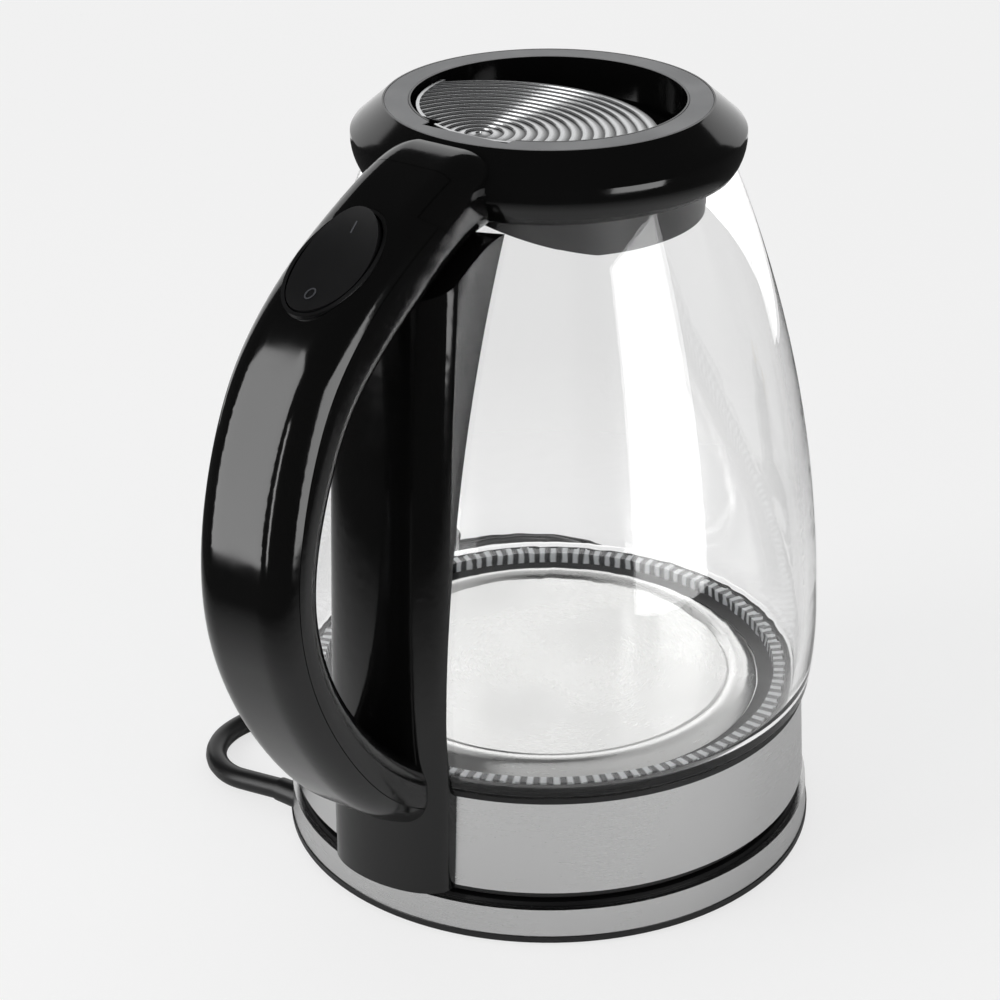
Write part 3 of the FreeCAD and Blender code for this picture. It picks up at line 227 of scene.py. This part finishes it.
def ridgedAluminium():
    # Anodised aluminium plate: bright metal on the crests, painted shade in the grooves, which turn near-black and
    # non-metallic below the crest height.
    material = newMaterial("ridgedLidAluminium", "#b9babb")
    place = addNode(material, "ShaderNodeTexCoord")
    apart = addNode(material, "ShaderNodeSeparateXYZ", None, {"Vector": place.outputs["Object"]})
    grooveShadeMask = addNode(material, "ShaderNodeMapRange", None,
                    {"Value": apart.outputs[2], "From Min": 0.21715, "From Max": 0.21745})
    # painted shade: near-black #151516 in the grooves, bright #d8d9da on the crests
    paint = addNode(material, "ShaderNodeMix", {"data_type": "RGBA"},
                    {0: grooveShadeMask.outputs[0], 6: linearColour("#151516"), 7: linearColour("#d8d9da")})
    shader = addNode(material, "ShaderNodeBsdfPrincipled", None,
                     {"Base Color": paint.outputs[2], "Metallic": grooveShadeMask.outputs[0], "Roughness": 0.26})
    return finishMaterial(material, shader)


def lightRing():
    # Clear acrylic light guide over a toothed reflector: a bright ring with dark ticks every 2 mm.
    material = newMaterial("lightRingAcrylic", "#c9ccd0")
    place = addNode(material, "ShaderNodeTexCoord")
    apart = addNode(material, "ShaderNodeSeparateXYZ", None, {"Vector": place.outputs["Object"]})
    angle = addNode(material, "ShaderNodeMath", {"operation": "ARCTAN2"},
                    {0: apart.outputs[1], 1: apart.outputs[0]})
    count = addNode(material, "ShaderNodeMath", {"operation": "MULTIPLY"}, {0: angle.outputs[0], 1: 120.0})
    tooth = addNode(material, "ShaderNodeMath", {"operation": "SINE"}, {0: count.outputs[0]})
    dark = addNode(material, "ShaderNodeMapRange", None,
                   {"Value": tooth.outputs[0], "From Min": -0.4, "From Max": 0.5})
    paint = addNode(material, "ShaderNodeMix", {"data_type": "RGBA"},
                    {0: dark.outputs[0], 6: linearColour("#26282b"), 7: linearColour("#d9dcde")})
    shader = addNode(material, "ShaderNodeBsdfPrincipled", None,
                     {"Base Color": paint.outputs[2], "Roughness": 0.12, "IOR": 1.49})
    return finishMaterial(material, shader)


blackAbs = polishedPlastic()
satinBlack = satinPlastic("satinBlackPolypropylene", "#101011", 0.4)
# painted reflection: mid grey #77787a stands for the white backdrop reflected in the collar's black gloss top
reflectionGrey = satinPlastic("collarPaintedReflection", "#77787a", 0.36, 0.5)
switchGrey = satinPlastic("satinSwitchNylon", "#151516", 0.33)
clearGlass = blownGlass()
bandSteel = brushedSteel("brushedBandSteel", "#dcdcdc", 0.2, 0.3)
plateSteel = brushedSteel("brushedPlateSteel", "#c8c8c7", 0.26, 0.36, False, 0.4)
lidSteel = ridgedAluminium()
fittingSteel = plainMetal("zincPlatedSteel", "#a9aaab", 0.35)
contactBrass = plainMetal("nickelledBrass", "#c9b36a", 0.3)
sealRubber = satinPlastic("blackSilicone", "#0e0e0f", 0.55)
footRubber = satinPlastic("footRubber", "#1a1a1b", 0.8)
cordVinyl = satinPlastic("cordVinyl", "#0d0d0e", 0.33, 0.6)
ringAcrylic = lightRing()
print("materials made")


# the cord: along the table, round the coil and up into the plug
cord = {
    "diameter": 6.4,
    "route": [(-50.4, 63.0, 5.4), (-50.8, 73.0, 4.4), (-50.9, 83.0, 3.3), (-46.6, 92.4, 3.3), (-38.2, 98.6, 3.3),
              (-27.6, 100.2, 3.3), (-14.5, 96.6, 3.3), (-3.5, 91.6, 3.3), (8.0, 90.0, 3.3), (20.5, 92.8, 3.3),
              (36.5, 98.2, 3.3), (52.5, 104.2, 3.3), (62.5, 108.9, 3.3)],
    "coilCentre": (90.7, 80.6), "outerStrand": 38.3, "innerStrand": 25.5, "turnPoints": 16,
    "turns": 2.0, "coilStart": 125.0, "plugHeading": 145.0, "plugHeight": 14.6,
}
cordPoints = [Vector(point) for point in cord["route"]]
steps = int(cord["turns"] * cord["turnPoints"])
widen = 1.012  # the smooth line runs a little inside its points
for i in range(steps + 1):
    part = i / steps
    angle = math.radians(cord["coilStart"] - 360.0 * cord["turns"] * part)
    radius = (cord["outerStrand"] + (cord["innerStrand"] - cord["outerStrand"]) * part) * widen
    cordPoints.append(Vector((cord["coilCentre"][0] + radius * math.cos(angle),
                              cord["coilCentre"][1] + radius * math.sin(angle), 3.3)))
# the last stretch climbs inside the coil and over the strands to the plug
climbFrom, climbTo = cord["coilStart"], cord["plugHeading"] - 360.0
climbSteps = 15
for i in range(1, climbSteps + 1):
    part = i / climbSteps
    angle = math.radians(climbFrom + (climbTo - climbFrom) * part)
    lift = part + 0.1 * math.sin(math.pi * part)
    radius = cord["innerStrand"] * (widen if i < climbSteps else 1.0)
    cordPoints.append(Vector((cord["coilCentre"][0] + radius * math.cos(angle),
                              cord["coilCentre"][1] + radius * math.sin(angle),
                              3.3 + (cord["plugHeight"] - 3.3) * lift)))
cordCurve = bpy.data.curves.new("power_cord", "CURVE")
cordCurve.dimensions = "3D"
spline = cordCurve.splines.new("NURBS")
spline.points.add(len(cordPoints) - 1)
for point, place in zip(spline.points, cordPoints):
    point.co = (*(place / 1000), 1.0)
spline.order_u = 3
spline.use_endpoint_u = True
spline.resolution_u = 8
cordCurve.bevel_depth = cord["diameter"] / 2000
cordCurve.bevel_resolution = 7
cordCurve.use_fill_caps = True
cordCurve.materials.append(cordVinyl)
cordPiece = bpy.data.objects.new("power_cord", cordCurve)
scene.collection.objects.link(cordPiece)
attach(cordPiece, "power_base")
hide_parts("cord_run", "cord_coil")
print("cord laid")


# finishes of the pieces that keep their CAD shape
finishes = {
    "base_pan": satinBlack, "base_deck": satinBlack, "base_skirt": bandSteel, "connector_socket": satinBlack,
    "contact_core": contactBrass, "contact_ring_inner": contactBrass, "contact_ring_outer": contactBrass,
    "strain_relief": cordVinyl, "plug_body": cordVinyl, "plug_relief": cordVinyl,
    "plug_pin_left": contactBrass, "plug_pin_right": contactBrass,
    "jug_bottom_cover": satinBlack, "heater_carrier": satinBlack, "steel_band": bandSteel,
    "connector_plug": satinBlack, "connector_pin": contactBrass, "connector_ring": contactBrass,
    "thermostat_block": satinBlack, "heating_plate": plateSteel, "heater_element": fittingSteel,
    "heater_terminal_left": fittingSteel, "heater_terminal_right": fittingSteel,
    "glass_seal": sealRubber, "light_ring": ringAcrylic, "collar_seal": sealRubber, "glass_jug": clearGlass,
    "neck_sleeve": satinBlack, "handle_column": blackAbs, "grip_cover": blackAbs, "grip_shell": blackAbs,
    "switch_bezel": satinBlack, "switch_button": switchGrey, "switch_unit": satinBlack, "collar": blackAbs,
    "lid_hinge_pin": fittingSteel, "spout": blackAbs, "filter_frame": satinBlack, "filter_leaf": fittingSteel,
    "lid_spring": fittingSteel, "lid_body": blackAbs, "lid_plate": lidSteel, "lid_under": satinBlack,
    "lid_seal": sealRubber,
}
for number in (1, 2, 3):
    finishes["base_foot_%d" % number] = footRubber
    finishes["base_screw_%d" % number] = fittingSteel
    finishes["jug_screw_%d" % number] = fittingSteel


def smoothGroup():
    # Geometry nodes that shade a joined mesh smooth but keep its real edges.
    group = bpy.data.node_groups.new("smooth_by_angle", "GeometryNodeTree")
    group.interface.new_socket("Geometry", in_out="INPUT", socket_type="NodeSocketGeometry")
    group.interface.new_socket("Geometry", in_out="OUTPUT", socket_type="NodeSocketGeometry")
    start = group.nodes.new("NodeGroupInput")
    end = group.nodes.new("NodeGroupOutput")
    faces = group.nodes.new("GeometryNodeSetShadeSmooth")
    faces.domain = "FACE"
    edges = group.nodes.new("GeometryNodeSetShadeSmooth")
    edges.domain = "EDGE"
    edges.inputs["Shade Smooth"].default_value = False
    angle = group.nodes.new("GeometryNodeInputMeshEdgeAngle")
    sharp = group.nodes.new("FunctionNodeCompare")
    sharp.operation = "GREATER_THAN"
    sharp.inputs[1].default_value = math.radians(28.0)
    group.links.new(start.outputs[0], faces.inputs["Geometry"])
    group.links.new(faces.outputs["Geometry"], edges.inputs["Geometry"])
    group.links.new(angle.outputs["Unsigned Angle"], sharp.inputs[0])
    group.links.new(sharp.outputs[0], edges.inputs["Selection"])
    group.links.new(edges.outputs["Geometry"], end.inputs[0])
    return group


smoothing = smoothGroup()
for nodeName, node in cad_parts.items():
    if nodeName not in finishes:
        continue
    node.data.materials.clear()
    node.data.materials.append(finishes[nodeName])
    weld = node.modifiers.new("weld", "WELD")
    weld.merge_threshold = 0.000004
    smoothed = node.modifiers.new("smooth", "NODES")
    smoothed.node_group = smoothing
print("CAD pieces finished")


# mid grey ring laid on the collar's top, open behind where the lid swings: a painted reflection of the white backdrop
# in the black gloss collar
paintedReflection = {"inner": 37.5, "outer": 44.1, "low": 218.71, "top": 218.98, "edge": 0.18, "notchReach": 37.9, "notchHalf": 14.2}
reflectionShape = bmesh.new()
reflectionLoops = []
for i in range(240):
    angle = math.tau * i / 240
    inner = paintedReflection["inner"]
    if math.cos(angle) < 0 and abs(math.sin(angle)) * paintedReflection["notchReach"] < paintedReflection["notchHalf"] * -math.cos(angle):
        inner = max(inner, paintedReflection["notchReach"] / -math.cos(angle))
    corners = [(inner, paintedReflection["low"]), (paintedReflection["outer"], paintedReflection["low"]), (paintedReflection["outer"], paintedReflection["top"] - paintedReflection["edge"]),
               (paintedReflection["outer"] - paintedReflection["edge"], paintedReflection["top"]), (inner + paintedReflection["edge"], paintedReflection["top"]),
               (inner, paintedReflection["top"] - paintedReflection["edge"])]
    reflectionLoops.append([reflectionShape.verts.new((radius * math.cos(angle) / 1000, radius * math.sin(angle) / 1000,
                                           height / 1000)) for radius, height in corners])
for here, there in zip(reflectionLoops, reflectionLoops[1:] + reflectionLoops[:1]):
    for k in range(6):
        reflectionShape.faces.new((here[k], here[k - 5], there[k - 5], there[k]))
reflectionPiece = newObject("collar_painted_reflection", meshFrom(reflectionShape, "collar_painted_reflection"), reflectionGrey, "jug")
print("trim ring added")


# marks on the rocker: a ring near its lower end, a bar near its upper end
rocker = {"reach": 92.1, "height": 201.5, "tilt": 30.0, "rock": 4.0, "pivot": -3.5, "dish": 75.0, "dishLow": -0.6,
          "markAt": 10.6, "thick": 0.16, "ringLong": 1.9, "ringWide": 1.35, "line": 0.42, "barLong": 3.4}
rockerPlace = Matrix.Translation((-rocker["reach"], 0, rocker["height"]))
rockerPlace = rockerPlace @ Matrix.Rotation(math.radians(-rocker["tilt"]), 4, "Y")
pivotPlace = Matrix.Translation((0, 0, rocker["pivot"]))
rockerPlace = rockerPlace @ pivotPlace @ Matrix.Rotation(math.radians(-rocker["rock"]), 4, "Y") @ pivotPlace.inverted()
markPaint = satinPlastic("padPrintedGrey", "#45464a", 0.45)


def addMark(name, shape, along):
    # Thickens a flat mark, sets it on the dished button and turns it into place.
    made = bmesh.ops.extrude_face_region(shape, geom=shape.faces[:])
    for vertex in [item for item in made["geom"] if isinstance(item, bmesh.types.BMVert)]:
        vertex.co.z += rocker["thick"]
    for vertex in shape.verts:
        reach = vertex.co.x + along
        vertex.co.x = reach
        vertex.co.z += rocker["dishLow"] + reach * reach / (2 * rocker["dish"]) - 0.03
    bmesh.ops.transform(shape, matrix=Matrix.Scale(0.001, 4) @ rockerPlace, verts=shape.verts)
    piece = newObject(name, meshFrom(shape, name), markPaint, "switch")
    return piece


ringShape = bmesh.new()
rings = []
for inset in (0.0, rocker["line"]):
    circle = bmesh.ops.create_circle(ringShape, segments=48, radius=1.0)["verts"]
    bmesh.ops.scale(ringShape, vec=(rocker["ringLong"] - inset, rocker["ringWide"] - inset, 1), verts=circle)
    rings += list({edge for vertex in circle for edge in vertex.link_edges})
bmesh.ops.bridge_loops(ringShape, edges=rings)
addMark("rocker_mark_off", ringShape, -rocker["markAt"])
barShape = bmesh.new()
bmesh.ops.create_grid(barShape, x_segments=8, y_segments=1, size=0.5)
bmesh.ops.scale(barShape, vec=(rocker["barLong"], rocker["line"], 1), verts=barShape.verts)
addMark("rocker_mark_on", barShape, rocker["markAt"])
print("rocker marked")


# floor, backdrop and light
floorMesh = bpy.data.meshes.new("studio_floor")
floorShape = bmesh.new()
bmesh.ops.create_grid(floorShape, x_segments=2, y_segments=2, size=6.0)
floorShape.to_mesh(floorMesh)
floorShape.free()
floorMaterial = newMaterial("matteWhitePaper", "#f4f4f4")
paperPlace = addNode(floorMaterial, "ShaderNodeTexCoord")
paperReach = addNode(floorMaterial, "ShaderNodeVectorMath", {"operation": "LENGTH"}, {0: paperPlace.outputs["Object"]})
paperFar = addNode(floorMaterial, "ShaderNodeMapRange", None,
                   {"Value": paperReach.outputs["Value"], "From Min": 0.2, "From Max": 0.35})
paperFibre = addNode(floorMaterial, "ShaderNodeTexNoise", None,
                     {"Vector": paperPlace.outputs["Object"], "Scale": 900.0, "Detail": 2.0})
paperBump = addNode(floorMaterial, "ShaderNodeBump", None,
                    {"Height": paperFibre.outputs[0], "Strength": 0.05, "Distance": 0.0001})
paperShade = addNode(floorMaterial, "ShaderNodeBsdfDiffuse", None,
                     {"Color": linearColour("#f2f2f2"), "Normal": paperBump.outputs[0]})
paperGlow = addNode(floorMaterial, "ShaderNodeEmission", None, {"Color": (1, 1, 1, 1), "Strength": 1.0})
paperRay = addNode(floorMaterial, "ShaderNodeLightPath")
seen = addNode(floorMaterial, "ShaderNodeMath", {"operation": "MAXIMUM"},
               {0: paperRay.outputs["Is Camera Ray"], 1: paperRay.outputs["Is Transmission Ray"]})
glowShare = addNode(floorMaterial, "ShaderNodeMath", {"operation": "MULTIPLY"}, {0: seen.outputs[0], 1: 0.7})
paperMix = addNode(floorMaterial, "ShaderNodeMixShader", None,
                   {0: glowShare.outputs[0], 1: paperShade.outputs[0], 2: paperGlow.outputs[0]})
paperClear = addNode(floorMaterial, "ShaderNodeBsdfTransparent")
paperOpen = addNode(floorMaterial, "ShaderNodeMath", {"operation": "MULTIPLY"},
                    {0: paperFar.outputs[0], 1: paperRay.outputs["Is Glossy Ray"]})
paperCut = addNode(floorMaterial, "ShaderNodeMixShader", None,
                   {0: paperOpen.outputs[0], 1: paperMix.outputs[0], 2: paperClear.outputs[0]})
finishMaterial(floorMaterial, paperCut)
floorMesh.materials.append(floorMaterial)
floorPiece = bpy.data.objects.new("studio_floor", floorMesh)
scene.collection.objects.link(floorPiece)

world = bpy.data.worlds.new("studio")
scene.world = world
world.use_nodes = True
world.node_tree.nodes.clear()
worldRay = world.node_tree.nodes.new("ShaderNodeLightPath")
worldShade = world.node_tree.nodes.new("ShaderNodeBackground")
worldOut = world.node_tree.nodes.new("ShaderNodeOutputWorld")
direct = world.node_tree.nodes.new("ShaderNodeMath")
direct.operation = "MAXIMUM"
# white where the camera looks past or through the kettle, dim for soft light, near black in reflections
level = world.node_tree.nodes.new("ShaderNodeMapRange")
level.inputs["To Min"].default_value = 0.5
level.inputs["To Max"].default_value = 0.05
bright = world.node_tree.nodes.new("ShaderNodeMapRange")
bright.inputs["To Max"].default_value = 1.0
world.node_tree.links.new(worldRay.outputs["Is Camera Ray"], direct.inputs[0])
world.node_tree.links.new(worldRay.outputs["Is Transmission Ray"], direct.inputs[1])
world.node_tree.links.new(worldRay.outputs["Is Glossy Ray"], level.inputs["Value"])
world.node_tree.links.new(direct.outputs[0], bright.inputs["Value"])
world.node_tree.links.new(level.outputs[0], bright.inputs["To Min"])
world.node_tree.links.new(bright.outputs[0], worldShade.inputs["Strength"])
world.node_tree.links.new(worldShade.outputs[0], worldOut.inputs["Surface"])


def addSoftbox(name, azimuth, elevation, distance, width, height, power, aim=(0, 0, 0.11)):
    # A rectangular soft lamp; azimuth 0 stands in front (-Y), 90 to the right (+X).
    lamp = bpy.data.lights.new(name, "AREA")
    lamp.shape = "RECTANGLE"
    lamp.size, lamp.size_y = width, height
    lamp.energy = power
    lampObject = bpy.data.objects.new(name, lamp)
    scene.collection.objects.link(lampObject)
    side, up = math.radians(azimuth), math.radians(elevation)
    outward = Vector((math.sin(side) * math.cos(up), -math.cos(side) * math.cos(up), math.sin(up)))
    lampObject.location = Vector(aim) + outward * distance
    lampObject.rotation_euler = outward.to_track_quat("Z", "Y").to_euler()
    return lampObject


addSoftbox("softbox_left", -124.0, 16.0, 1.2, 0.5, 1.3, 9.0)
addSoftbox("softbox_left_strip", -94.0, 8.0, 1.4, 0.12, 0.9, 2.0)
addSoftbox("softbox_right", -4.0, 2.0, 1.3, 0.75, 0.9, 9.0)
addSoftbox("backdrop_glow", 125.0, 10.0, 2.2, 4.2, 2.2, 26.0)

scene.view_settings.view_transform = "Standard"
print("stage and light set")
